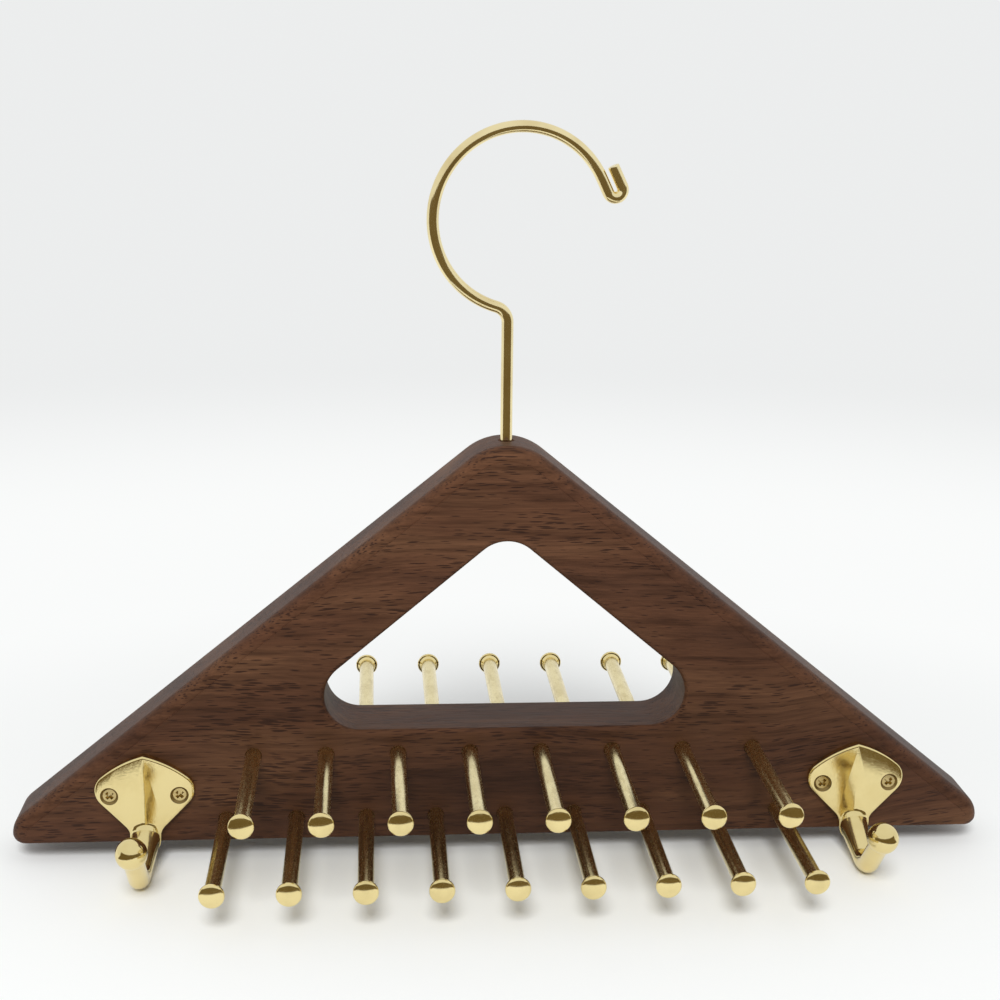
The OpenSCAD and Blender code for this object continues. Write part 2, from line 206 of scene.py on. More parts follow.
lamp_data = bpy.data.lights.new("soft_lamp", "AREA")
lamp_data.shape = "DISK"
lamp_data.size = lamp_size
lamp_data.energy = lamp_watts
lamp = put("soft_lamp", lamp_data)
lamp.location = lamp_place
lamp.rotation_euler = Vector(lamp_place).to_track_quat("Z", "Y").to_euler()
lamp.visible_glossy = False

dim_side = new_material("dim_side")
dim_paint = add_node(dim_side.node_tree, "ShaderNodeEmission", {"Color": dim_brown, "Strength": 1.0})
add_node(dim_side.node_tree, "ShaderNodeOutputMaterial", {"Surface": dim_paint.outputs[0]})

bm = bmesh.new()
dim_corners = [(0, -dim_near, dim_lift), (0, -dim_far, dim_lift), (0, -dim_far, dim_height)]
dim_line = [bm.verts.new(corner) for corner in dim_corners]
for pair in zip(dim_line, dim_line[1:]):
    bm.edges.new(pair)
bmesh.ops.rotate(
    bm, verts=bm.verts, cent=(0, 0, 0), matrix=Matrix.Rotation(-dim_spread / 2, 3, "Z")
)
bmesh.ops.spin(
    bm,
    geom=list(bm.verts) + list(bm.edges),
    cent=(0, 0, 0),
    axis=(0, 0, 1),
    angle=dim_spread,
    steps=dim_steps,
)
dim_wall = from_bmesh(bm, "dim_side")
dim_wall.data.materials.append(dim_side)
dim_wall.visible_camera = False
dim_wall.visible_diffuse = False
dim_wall.visible_shadow = False


# Board.
# One plank of dark, oiled hardwood, sawn to a rounded triangle with a rounded triangular window. Its
# slopes and ends are rounded with a router, which leaves a fine step, and its other edges are sanded.
# The hook's bore runs from its top into a recess in the window's roof.
board_width = 0.305
side_slope = math.radians(39)
corner_radius = 0.008
toe_radius = 0.0028
apex_radius = 0.0185
edge_round = 0.004
edge_step = 0.0003
step_lean = 0.8
bottom_ease = 0.001
end_gap = math.radians(2)
window_width = 0.150
window_slope = math.radians(40)
window_rail = 0.036
window_radius = 0.011
window_ease = 0.0016
bore_radius = 0.00185
mouth_radius = 0.0028
recess_radius = 0.0045
recess_depth = 0.007
mouth_flare = 0.002
arc_steps = 24
round_steps = 6
ease_steps = 3
lathe_sides = 32
board_crease = math.radians(35)
weld = 1e-6

corner_x = board_width / 2 - corner_radius
sharp_x = corner_x + (toe_radius + corner_radius / math.cos(side_slope)) / math.tan(side_slope)
apex_z = sharp_x * math.tan(side_slope) - apex_radius / math.cos(side_slope)
board_top = board_low + apex_z + apex_radius
window_corner_x = window_width / 2 - window_radius / math.tan(window_slope / 2)
window_corner_z = window_rail + window_radius
window_apex_z = window_corner_z + window_corner_x * math.tan(window_slope)
recess_top = board_low + window_apex_z + window_radius + recess_depth
quarter = math.pi / 2


def board_corners(inset):
    """The corners of the board's outline, moved inwards by that much, and much less at the bottom."""
    low_radius = toe_radius - inset * bottom_ease / (edge_round + edge_step)
    low_x = board_width / 2 - inset - low_radius
    high_radius = corner_radius - inset
    bend = quarter - side_slope
    return [
        (low_x, toe_radius, low_radius, -quarter, quarter),
        (corner_x, toe_radius, high_radius, end_gap, bend - end_gap),
        (0, apex_z, apex_radius - inset, bend, 2 * side_slope),
        (-corner_x, toe_radius, high_radius, quarter + side_slope, bend - end_gap),
        (-low_x, toe_radius, low_radius, math.pi, quarter),
    ]


window_corners = [
    (window_corner_x, window_corner_z, window_radius, -quarter, math.pi - window_slope),
    (0, window_apex_z, window_radius, quarter - window_slope, 2 * window_slope),
    (-window_corner_x, window_corner_z, window_radius, quarter + window_slope, math.pi - window_slope),
]


def outline(bm, corners, inset, depth, steps):
    """A closed flat outline of arcs and straight lines, drawn in X and Y at that depth along Z.
    An arc that turns backwards is hollow, and an inset moves the line inwards everywhere."""
    ends = []
    for x, y, radius, start, turn in corners:
        reach = radius - inset if turn > 0 else radius + inset
        first = bm.verts.new((x + reach * math.cos(start), y + reach * math.sin(start), depth))
        arc = bmesh.ops.spin(
            bm, geom=[first], cent=(x, y, depth), axis=(0, 0, 1), angle=turn, steps=steps
        )
        last = [v for v in arc["geom_last"] if isinstance(v, bmesh.types.BMVert)][0]
        ends.append((first, last))
    edges = list({e for first, last in ends for e in walk(first)})
    for (first, last), (following, _) in zip(ends, ends[1:] + ends[:1]):
        edges.append(bm.edges.new((last, following)))
    return edges


def walk(first):
    """Every edge that is joined to a vertex."""
    seen = set()
    open_verts = [first]
    while open_verts:
        vert = open_verts.pop()
        for edge in vert.link_edges:
            if edge not in seen:
                seen.add(edge)
                open_verts.append(edge.other_vert(vert))
    return seen


def rounded_wall(bm, corners, profile, steps):
    """A wall that follows an outline: one band between each two (inset, depth) of its profile. Its
    corners may be a function, which gives them for an inset."""
    if callable(corners):
        rings = [outline(bm, corners(inset), 0, depth, steps) for inset, depth in profile]
    else:
        rings = [outline(bm, corners, inset, depth, steps) for inset, depth in profile]
    for ring, following in zip(rings, rings[1:]):
        bmesh.ops.bridge_loops(bm, edges=ring + following)
    return rings[0], rings[-1]


def quarter_round(radius, steps):
    """The (inset, depth) pairs of a rounded edge, from the face to the wall."""
    angles = [quarter * i / steps for i in range(steps + 1)]
    return [(radius * (1 - math.sin(a)), radius * (1 - math.cos(a))) for a in angles]


def edge_profile(half, radius, steps, sign, step=0):
    """The profile of a wall from one face to the other, with both its edges rounded. It may have
    a fine step between each face and its rounding."""
    edge = quarter_round(radius, steps)
    if step:
        lowered = [(inset, depth + step) for inset, depth in edge[1:]]
        edge = [(radius + step, 0), (radius + step * step_lean, step)] + lowered
    front = [(sign * inset, depth - half) for inset, depth in edge]
    back = [(inset, -depth) for inset, depth in reversed(front)]
    return front + back


def to_object(bm, name):
    """A finished bmesh as an object at the origin, joined up and with its faces pointing out."""
    bmesh.ops.remove_doubles(bm, verts=bm.verts, dist=weld)
    bmesh.ops.recalc_face_normals(bm, faces=bm.faces)
    return from_bmesh(bm, name)


def combine(piece, tool, operation):
    """Cuts a tool out of a piece or joins it on, and throws the tool away."""
    modifier = piece.modifiers.new("combine", "BOOLEAN")
    modifier.object = tool
    modifier.operation = operation
    modifier.solver = "EXACT"
    depsgraph = bpy.context.evaluated_depsgraph_get()
    result = bpy.data.meshes.new_from_object(piece.evaluated_get(depsgraph))
    piece.modifiers.clear()
    bpy.data.objects.remove(tool)
    bm = bmesh.new()
    bm.from_mesh(result)
    bmesh.ops.remove_doubles(bm, verts=bm.verts, dist=weld)
    bmesh.ops.dissolve_degenerate(bm, edges=bm.edges, dist=weld)
    bm.to_mesh(result)
    bm.free()
    piece.data = result


def smooth(piece, angle):
    """Smooth shading, with sharp edges where faces meet more steeply than the angle."""
    piece.data.shade_smooth()
    piece.data.set_sharp_from_angle(angle=angle)
    weighted = piece.modifiers.new("even_shading", "WEIGHTED_NORMAL")
    weighted.keep_sharp = True


def lathe(name, profile, place):
    """A turned piece: a profile of (radius, height) from axis to axis, spun round local Z."""
    bm = bmesh.new()
    points = [bm.verts.new((radius, 0, height)) for radius, height in profile]
    lines = [bm.edges.new(pair) for pair in zip(points, points[1:])]
    bmesh.ops.spin(
        bm,
        geom=points + lines,
        cent=(0, 0, 0),
        axis=(0, 0, 1),
        angle=2 * math.pi,
        steps=lathe_sides,
        use_merge=True,
    )
    bmesh.ops.transform(bm, matrix=place, verts=bm.verts)
    return to_object(bm, name)


bm = bmesh.new()
outer_profile = edge_profile(board_half, edge_round, round_steps, 1, edge_step)
outer = rounded_wall(bm, board_corners, outer_profile, arc_steps)
inner = rounded_wall(
    bm, window_corners, edge_profile(board_half, window_ease, ease_steps, -1), arc_steps
)
for rim, hole in zip(outer, inner):
    bmesh.ops.triangle_fill(bm, edges=rim + hole, use_beauty=True)
upright = Matrix.Translation((0, 0, board_low)) @ Matrix.Rotation(quarter, 4, "X")
bmesh.ops.transform(bm, matrix=upright, verts=bm.verts)
board = to_object(bm, "walnut_board")

bore_tool = lathe(
    "bore_tool",
    [
        (0, board_low + window_apex_z),
        (recess_radius, board_low + window_apex_z),
        (recess_radius, recess_top),
        (bore_radius, recess_top),
        (bore_radius, board_top - mouth_radius + bore_radius),
        (mouth_radius + mouth_flare, board_top + mouth_flare),
        (0, board_top + mouth_flare),
    ],
    Matrix.Identity(4),
)
combine(board, bore_tool, "DIFFERENCE")
smooth(board, board_crease)

heart_brown = (0.080, 0.033, 0.016, 1)
light_brown = (0.114, 0.052, 0.025, 1)
deep_brown = (0.050, 0.021, 0.0115, 1)
pore_brown = (0.024, 0.0095, 0.0055, 1)
# Darker low in the middle, between the front pegs: partly the wood's own tone, partly painted shade.
tone_and_shade_place = (-0.06, 0, -0.4)
tone_and_shade_scale = (6.0, 0.0, 18.0)
tone_and_shade_reach = (0.2, 1.2)
tone_and_shade_least = 0.68
rise_from = 0.085
rise_slope = 0.16
wander_pattern = ((7, 16, 16), 2.0, 0.5)
wander_by = (0.0, 0.012, 0.012)
cloud_pattern = ((9, 45, 45), 3.0, 0.55)
cloud_stops = [(0.32, deep_brown), (0.50, heart_brown), (0.68, light_brown)]
streak_pattern = ((34, 560, 560), 3.0, 0.6)
streak_stops = [(0.30, (0.60, 0.57, 0.54, 1)), (0.50, (1, 1, 1, 1)), (0.72, (1.25, 1.25, 1.25, 1))]
fibre_pattern = ((90, 2600, 2600), 2.0, 0.6)
fibre_reach = (0.25, 0.75)
fibre_stops = [(0.25, (0.78, 0.76, 0.74, 1)), (0.75, (1.18, 1.18, 1.18, 1))]
fibre_rough = (0.44, 0.58)
group_pattern = ((24, 110, 110), 2.0, 0.5)
group_reach = (0.35, 0.65)
pore_scale = (150, 1500, 1500)
pore_size = (0.18, 0.44)
pore_edge = (-0.02, 0.10)
pore_most = 0.9
wood_relief = 0.3
wood_relief_depth = 0.0002
wood_shine = 0.18


def ramp(tree, value, stops):
    """A colour ramp over (position, colour) stops."""
    node = add_node(tree, "ShaderNodeValToRGB", {"Fac": value})
    while len(node.color_ramp.elements) < len(stops):
        node.color_ramp.elements.new(1.0)
    for element, (position, colour) in zip(node.color_ramp.elements, stops):
        element.position = position
        element.color = colour
    return node.outputs["Color"]


def squeezed(tree, place, scale):
    """Object coordinates scaled differently along the grain and across it."""
    return add_node(tree, "ShaderNodeMapping", {"Vector": place, "Scale": scale}).outputs["Vector"]


def noise(tree, place, scale, detail, roughness):
    """The value of a noise pattern, which is a scale, a detail and a roughness. Its scale is one
    number, or one for each axis."""
    if isinstance(scale, tuple):
        place = squeezed(tree, place, scale)
        scale = 1.0
    values = {"Vector": place, "Scale": scale, "Detail": detail, "Roughness": roughness}
    return add_node(tree, "ShaderNodeTexNoise", values).outputs["Fac"]


def walnut():
    """Oiled dark hardwood with its grain along X, rising at the right end: soft clouds, streaks, fine
    fibres, a darker stretch low in the middle that is partly its own tone and partly painted shade
    between the pegs, and short dark pores that lie open."""
    material = new_material("oiled_walnut")
    tree = material.node_tree
    place = add_node(tree, "ShaderNodeTexCoord").outputs["Object"]
    parts = add_node(tree, "ShaderNodeSeparateXYZ", {"Vector": place})
    past = sums(tree, "MAXIMUM", sums(tree, "SUBTRACT", parts.outputs["X"], rise_from), 0.0)
    lift = add_node(tree, "ShaderNodeCombineXYZ", {"Z": sums(tree, "MULTIPLY", past, -rise_slope)})
    level = add_node(
        tree, "ShaderNodeVectorMath", {0: place, 1: lift.outputs[0]}, operation="ADD"
    ).outputs[0]
    wander = noise(tree, level, *wander_pattern)
    sway = add_node(tree, "ShaderNodeVectorMath", {0: wander, 1: wander_by}, operation="MULTIPLY")
    bent = add_node(
        tree, "ShaderNodeVectorMath", {0: level, 1: sway.outputs[0]}, operation="ADD"
    ).outputs[0]
    clouds = noise(tree, bent, *cloud_pattern)
    streaks = noise(tree, bent, *streak_pattern)
    fibres = noise(tree, bent, *fibre_pattern)
    groups = noise(tree, bent, *group_pattern)
    cells = add_node(
        tree,
        "ShaderNodeTexVoronoi",
        {"Vector": squeezed(tree, bent, pore_scale), "Scale": 1.0, "Randomness": 1.0},
    ).outputs["Distance"]
    colour = ramp(tree, clouds, cloud_stops)
    colour = blend(tree, 1.0, colour, ramp(tree, streaks, streak_stops), "MULTIPLY")
    colour = blend(tree, 1.0, colour, ramp(tree, fibres, fibre_stops), "MULTIPLY")
    # Painted shade, with some of the wood's own tone: the colour is darker low in the middle, between
    # the pegs.
    from_tone_and_shade = add_node(
        tree, "ShaderNodeMapping", {"Vector": place, "Location": tone_and_shade_place, "Scale": tone_and_shade_scale}
    )
    tone_and_shade_distance = add_node(
        tree, "ShaderNodeVectorMath", {0: from_tone_and_shade.outputs["Vector"]}, operation="LENGTH"
    )
    toned_and_shaded = stretch(tree, tone_and_shade_distance.outputs["Value"], tone_and_shade_reach, (tone_and_shade_least, 1.0))
    tone_and_shade_tint = add_node(
        tree, "ShaderNodeCombineColor", {"Red": toned_and_shaded, "Green": toned_and_shaded, "Blue": toned_and_shaded}
    ).outputs[0]
    colour = blend(tree, 1.0, colour, tone_and_shade_tint, "MULTIPLY")
    pore_depth = sums(tree, "SUBTRACT", stretch(tree, groups, group_reach, pore_size), cells)
    pore_mask = stretch(tree, pore_depth, pore_edge, (0.0, pore_most))
    colour = blend(tree, pore_mask, colour, pore_brown)
    rough = stretch(tree, fibres, fibre_reach, fibre_rough)
    relief = add_node(
        tree,
        "ShaderNodeBump",
        {
            "Strength": wood_relief,
            "Distance": wood_relief_depth,
            "Height": sums(tree, "SUBTRACT", fibres, pore_mask),
        },
    )
    shader = add_node(
        tree,
        "ShaderNodeBsdfPrincipled",
        {
            "Base Color": colour,
            "Roughness": rough,
            "Specular IOR Level": wood_shine,
            "Normal": relief.outputs[0],
        },
    )
    add_node(tree, "ShaderNodeOutputMaterial", {"Surface": shader.outputs[0]})
    return material


board.data.materials.clear()
board.data.materials.append(walnut())
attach(board, "hanger")
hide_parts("board")


# Pegs.
# Each peg is turned from brass rod: a plain shank pressed into the wood, where it keeps a fine burr,
# a short cone under the head, and a head with a rounded rim and a low dome, polished on the lathe.
peg_radius = 0.0024
peg_in = 0.009
peg_out = 0.0535
head_radius = 0.0037
head_rim = 0.001
head_dome = 0.0009
rim_round = 0.00025
neck_length = 0.0008
burr = 0.00022
burr_length = 0.0008
collar_radius = (peg_radius + head_radius) / 2
drawn_tone = (0.88, 0.76, 0.42, 1)
speck_brown = (0.22, 0.15, 0.06, 1)
dome_steps = 7
turned_crease = math.radians(40)
patch_pattern = (90.0, 3.0, 0.6)
patch_reach = (0.45, 0.8)
patch_most = 0.7
mark_detail = (3.0, 0.7)
mark_reach = (0.3, 0.7)
mark_rough = 0.08
mark_relief = 0.1
score_pattern = ((1500, 60, 1500), 3.0, 0.7)
score_rough = (0.02, 0.12)
blotch_pattern = ((500, 160, 500), 2.0, 0.6)
blotch_reach = (0.45, 0.75)
blotch_most = 0.8
speck_pattern = ((2200, 700, 2200), 3.0, 0.7)
speck_reach = (0.5, 0.66)
speck_most = 0.16
pit_reach = (0.45, 0.7)
pit_rough = 0.1

rim_low = peg_out - head_dome - head_rim
dome_radius = (head_radius**2 + head_dome**2) / (2 * head_dome)
dome_edge = head_radius - rim_round
dome_turn = math.asin(dome_edge / dome_radius)
peg_profile = [
    (0, -peg_in),
    (peg_radius, -peg_in),
    (peg_radius, 0),
    (peg_radius + burr, burr_length / 4),
    (peg_radius + burr, burr_length / 2),
    (peg_radius, burr_length),
    (peg_radius, rim_low - neck_length),
    (collar_radius, rim_low - neck_length / 8),
    (collar_radius, rim_low),
    (dome_edge, rim_low),
    (head_radius, rim_low + rim_round),
    (head_radius, rim_low + head_rim - rim_round),
]
for step in range(dome_steps + 1):
    angle = dome_turn * (1 - step / dome_steps)
    peg_profile.append(
        (dome_radius * math.sin(angle), peg_out - dome_radius * (1 - math.cos(angle)))
    )


def brass(name, tone, dull_tone, shine, grain_scale, drawn_to=None, dents=0.00004):
    """Lacquered brass: a warm metal whose tone and polish vary a little, with fine marks. Up to a
    distance from the middle of the board it may be drawn rod, which is duller, scored and specked."""
    material = new_material(name)
    tree = material.node_tree
    place = add_node(tree, "ShaderNodeTexCoord").outputs["Object"]
    patches = noise(tree, place, *patch_pattern)
    marks = noise(tree, place, grain_scale, *mark_detail)
    patch_share = stretch(tree, patches, patch_reach, (0.0, patch_most))
    rough = stretch(tree, marks, mark_reach, (shine, shine + mark_rough))
    relief = add_node(
        tree, "ShaderNodeBump", {"Strength": mark_relief, "Distance": dents, "Height": marks}
    )
    if drawn_to:
        depth = add_node(tree, "ShaderNodeSeparateXYZ", {"Vector": place}).outputs["Y"]
        drawn = sums(tree, "LESS_THAN", sums(tree, "ABSOLUTE", depth, 0.0), drawn_to)
        scores = noise(tree, place, *score_pattern)
        blotches = noise(tree, place, *blotch_pattern)
        dull_share = stretch(tree, blotches, blotch_reach, (0.0, blotch_most))
        patch_share = sums(tree, "MAXIMUM", patch_share, sums(tree, "MULTIPLY", drawn, dull_share))
        specks = noise(tree, place, *speck_pattern)
        speck_share = stretch(tree, specks, speck_reach, (0.0, speck_most))
        scored = stretch(tree, scores, mark_reach, score_rough)
        pitted = stretch(tree, specks, pit_reach, (0.0, pit_rough))
        worn = sums(tree, "MULTIPLY", drawn, sums(tree, "ADD", scored, pitted))
        rough = sums(tree, "ADD", rough, worn)
        height = sums(tree, "ADD", marks, sums(tree, "MULTIPLY", scores, drawn))
        tree.links.new(height, relief.inputs["Height"])
    colour = blend(tree, patch_share, tone, dull_tone)
    if drawn_to:
        colour = blend(tree, drawn, colour, blend(tree, patch_share, drawn_tone, dull_tone))
        colour = blend(tree, sums(tree, "MULTIPLY", drawn, speck_share), colour, speck_brown)
    shader = add_node(
        tree,
        "ShaderNodeBsdfPrincipled",
        {
            "Base Color": colour,
            "Metallic": 1.0,
            "Roughness": rough,
            "Normal": relief.outputs[0],
        },
    )
    add_node(tree, "ShaderNodeOutputMaterial", {"Surface": shader.outputs[0]})
    return material


peg_brass = brass(
    "turned_brass",
    tone=(0.88, 0.73, 0.36, 1),
    dull_tone=(0.62, 0.50, 0.23, 1),
    shine=0.09,
    grain_scale=2400.0,
    drawn_to=board_half + rim_low - neck_length,
)
peg_rows = {"front_upper": (8, -1), "front_lower": (9, -1), "back_upper": (9, 1), "back_lower": (8, 1)}
for row, (count, side) in peg_rows.items():
    for number in range(1, count + 1):
        node_name = f"{row}_peg_{number}"
        low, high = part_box(node_name)
        root = Matrix.Translation(((low.x + high.x) / 2, side * board_half, (low.z + high.z) / 2))
        peg = lathe(f"turned_{node_name}", peg_profile, root @ Matrix.Rotation(-side * quarter, 4, "X"))
        smooth(peg, turned_crease)
        peg.data.materials.append(peg_brass)
        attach(peg, "hanger")
        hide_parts(node_name)


# Hook washer.
# A plain washer, stamped from sheet steel. It lies against the top of the recess, round the hook's
# shank, and the peened end of the hook rests under it.
washer_pattern = (1800.0, 2.0, 0.6)
washer_stops = [(0.2, (0.45, 0.45, 0.46, 1)), (0.8, (0.62, 0.62, 0.63, 1))]
washer_rough = (0.22, 0.42)


def washer_steel():
    """Bright steel with fine marks."""
    material = new_material("washer_steel")
    tree = material.node_tree
    place = add_node(tree, "ShaderNodeTexCoord").outputs["Object"]
    marks = noise(tree, place, *washer_pattern)
    rough = stretch(tree, marks, (0.0, 1.0), washer_rough)
    tone = ramp(tree, marks, washer_stops)
    values = {"Base Color": tone, "Metallic": 1.0, "Roughness": rough}
    shader = add_node(tree, "ShaderNodeBsdfPrincipled", values)
    add_node(tree, "ShaderNodeOutputMaterial", {"Surface": shader.outputs[0]})
    return material


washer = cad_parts["hook_washer"]
washer.data.materials.clear()
washer.data.materials.append(washer_steel())


# Wire hook.
# One length of brass wire. It is peened over under the washer, runs up through the bore, bends
# into an open ring, and its tip is folded back on itself so that it can't scratch.
wire_radius = 0.0018
ring_radius = 0.0269
ring_rise = 0.0664
ring_offset = 0.0041
neck_bend = 0.005
ring_end = math.radians(26)
tip_in = 0.0048
fold_radius = 0.0023
tip_back = 0.0068
hook_turn = math.radians(8)
washer_thick = 0.001
end_play = 0.0001
peen_radius = 0.003
peen_height = 0.002
peen_round = 0.0002
peen_cap = 0.00108
peen_waist = 0.001728
peen_rim = 0.00282
tip_rounding = ((0.00035, 0.93), (0.00015, 0.75))
wire_sides = 28
neck_steps = 16
ring_steps = 80
fold_steps = 20

ring_z = board_top + ring_rise
bend_z = ring_z - math.sqrt((ring_radius + neck_bend) ** 2 - (ring_offset + neck_bend) ** 2)
bend_turn = math.atan2(ring_z - bend_z, ring_offset + neck_bend)
peen_top = recess_top - washer_thick - end_play
toward_front = (0, -1, 0)
peen_steps = [
    (peen_round, peen_waist),
    (peen_height / 2 - peen_round, peen_radius),
    (peen_height / 2 - peen_round, peen_radius),
    (peen_round, peen_rim),
    (0, wire_radius),
    (bend_z - peen_top, wire_radius),
]
tip_straight = tip_back - sum(length for length, scale in tip_rounding)


def ring_at(bm, centre, radius, sides):
    """A level ring of edges, from which a rod is drawn."""
    made = bmesh.ops.create_circle(
        bm, cap_ends=False, segments=sides, radius=radius, matrix=Matrix.Translation(centre)
    )
    return list({edge for vert in made["verts"] for edge in vert.link_edges})


def verts_of(edges):
    """The vertices of a ring of edges."""
    return list({vert for edge in edges for vert in edge.verts})


def draw_on(bm, edges, shift, scale=1.0):
    """Draws a rod on in a straight line, and makes its end thinner or thicker."""
    made = bmesh.ops.extrude_edge_only(bm, edges=edges)["geom"]
    last = [part for part in made if isinstance(part, bmesh.types.BMVert)]
    bmesh.ops.translate(bm, verts=last, vec=shift)
    middle = sum((vert.co for vert in last), Vector()) / len(last)
    for vert in last:
        vert.co = middle + (vert.co - middle) * scale
    ends = set(last)
    return [
        part
        for part in made
        if isinstance(part, bmesh.types.BMEdge) and set(part.verts) <= ends
    ]


def bend_on(bm, edges, centre, axis, angle, steps):
    """Bends a rod on round a centre."""
    made = bmesh.ops.spin(bm, geom=edges, cent=centre, axis=axis, angle=angle, steps=steps)
    return [part for part in made["geom_last"] if isinstance(part, bmesh.types.BMEdge)]


def close_end(bm, edges):
    """Closes the end of a rod with one face."""
    bmesh.ops.contextual_create(bm, geom=edges)


def upright_point(length, angle):
    """A point at that length and angle above level, in the plane of the board."""
    return Vector((length * math.cos(angle), 0, length * math.sin(angle)))


bm = bmesh.new()
wire = ring_at(bm, (0, 0, peen_top - peen_height), peen_cap, wire_sides)
close_end(bm, wire)
reached = peen_cap
for length, radius in peen_steps:
    wire = draw_on(bm, wire, (0, 0, length), radius / reached)
    reached = radius
wire = bend_on(bm, wire, (-neck_bend, 0, bend_z), toward_front, bend_turn, neck_steps)
ring_turn = bend_turn + math.pi - ring_end
wire = bend_on(bm, wire, (ring_offset, 0, ring_z), toward_front, -ring_turn, ring_steps)
tip_down = upright_point(1, ring_end - quarter)
tip_out = upright_point(1, ring_end)
wire = draw_on(bm, wire, tip_down * tip_in)
fold_centre = Vector((ring_offset, 0, ring_z)) + tip_out * (ring_radius + fold_radius)
fold_centre += tip_down * tip_in
wire = bend_on(bm, wire, fold_centre, toward_front, math.pi, fold_steps)
for length, scale in ((tip_straight, 1.0), *tip_rounding):
    wire = draw_on(bm, wire, tip_down * -length, scale)
close_end(bm, wire)
bmesh.ops.rotate(bm, verts=bm.verts, cent=(0, 0, 0), matrix=Matrix.Rotation(hook_turn, 3, "Z"))
wire_hook = to_object(bm, "bent_wire_hook")
smooth(wire_hook, turned_crease)
wire_brass = brass(
    "wire_brass",
    tone=(0.93, 0.80, 0.46, 1),
    dull_tone=(0.70, 0.54, 0.26, 1),
    shine=0.09,
    grain_scale=1500.0,
)
wire_hook.data.materials.append(wire_brass)
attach(wire_hook, "hook")
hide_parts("wire_hook")


# Belt hooks.
# Each belt hook is a small polished brass casting: a plate with a shallow ridge and softened edges,
# countersunk for two screws, and a tapered arm that flows out of its foot and bends up to a ball.
belt_hook_inset = 0.0415
belt_hook_z = 0.0168
plate_width = 0.0306
plate_peak = 0.0131
plate_edge = 0.0019
plate_ridge = 0.0013
plate_soft = 0.0008
bow_radius = 0.036
lobe_radius = 0.0058
lobe_rise = 0.0014
flank_radius = 0.005
neck_radius = 0.0047
neck_out = 0.001
arm_radius = 0.0031
arm_bend = 0.0073
arm_bend_out = 0.0164
arm_drop = 0.023
ball_radius = 0.0047
ball_out = 0.033
ball_drop = 0.0048
root_fillet = 0.0026
side_fillet = 0.0002
fillet_rise = 1.3
fillet_steps = 8
root_lead = 0.0006
root_in = 0.0012
neck_play = 0.00005
screw_margin = 0.00465
screw_radius = 0.0014
screw_head = 0.00225
screw_in = 0.013
seat_mouth = 0.0028
seat_gap = 0.00005
seat_over = 0.001
# Painted shade: the darker colour of the countersunk seats.
seat_shade_tone = (0.30, 0.21, 0.08, 1)
seat_rough = 0.4
back_gap = 0.00008
peak_radius = 0.0009
join_gap = math.radians(0.4)
foot_gap = math.radians(2)
plate_steps = 12
soft_steps = 4
arm_sides = 48
bend_steps = 32
ball_sides = 48
ball_rows = 32
cut_reach = 1e-7
cast_crease = math.radians(30)

flank_slope = quarter / 2
lobe_x = plate_width / 2 - lobe_radius
screw_x = plate_width / 2 - screw_margin


def tangent(centre, point, radius, side):
    """The angle at a circle's centre to where a line from the point touches the circle."""
    away = Vector(point) - Vector(centre)
    return math.atan2(away.y, away.x) + side * math.acos(radius / away.length)


def polar(centre, length, angle):
    """A point at that length and angle from a centre."""
    return (centre[0] + length * math.cos(angle), centre[1] + length * math.sin(angle))


to_peak = Vector((-lobe_x, plate_peak - lobe_rise))
bow_over_lobe = bow_radius - lobe_radius
bow_along = (bow_radius**2 - bow_over_lobe**2 - to_peak.length_squared) / (2 * bow_over_lobe)
shoulder = math.atan2(to_peak.y, to_peak.x) - math.acos(bow_along / to_peak.length)
bow_x, bow_y = polar((lobe_x, lobe_rise), -bow_over_lobe, shoulder)
peak_y = bow_y + math.sqrt((bow_radius - peak_radius) ** 2 - bow_x**2)
peak_turn = math.atan2(peak_y - bow_y, -bow_x)
bow_turn = peak_turn - shoulder - 2 * join_gap
flank_x = lobe_x + lobe_radius * math.cos(flank_slope)
flank_y = lobe_rise - lobe_radius * math.sin(flank_slope)
neck_top = flank_y - (flank_x - neck_radius)
neck_low = neck_top - flank_radius * math.tan(flank_slope / 2)
plate_corners = [
    (0, neck_low, neck_radius, math.pi + foot_gap, math.pi - 2 * foot_gap),
    (neck_radius + flank_radius, neck_low, flank_radius, math.pi, -flank_slope),
    (lobe_x, lobe_rise, lobe_radius, -flank_slope, flank_slope + shoulder),
    (bow_x, bow_y, bow_radius, shoulder + join_gap, bow_turn),
    (0, peak_y, peak_radius, peak_turn, math.pi - 2 * peak_turn),
    (-bow_x, bow_y, bow_radius, math.pi - peak_turn + join_gap, bow_turn),
    (-lobe_x, lobe_rise, lobe_radius, math.pi - shoulder, flank_slope + shoulder),
    (-neck_radius - flank_radius, neck_low, flank_radius, flank_slope, -flank_slope),
]


def plate_thickness(x):
    """Thickness of the plate at a distance from its ridge."""
    return plate_edge + plate_ridge * (1 - abs(x) / (plate_width / 2))


seat_face = plate_thickness(screw_x + seat_mouth)
screw_face = seat_face - (seat_mouth - seat_gap - screw_head)
neck_point = (neck_out, neck_low)
bend_point = (arm_bend_out, arm_bend - arm_drop + arm_radius)
ball_point = (ball_out, -ball_drop)
back_angle = tangent(bend_point, neck_point, arm_bend, 1)
front_angle = tangent(bend_point, ball_point, arm_bend, -1)
arm_turn = (front_angle - back_angle) % (2 * math.pi)


def beside_arm(point):
    """A point of the arm's side view as a place on the belt hook: out of the board and up."""
    return Vector((0, point[1], point[0]))


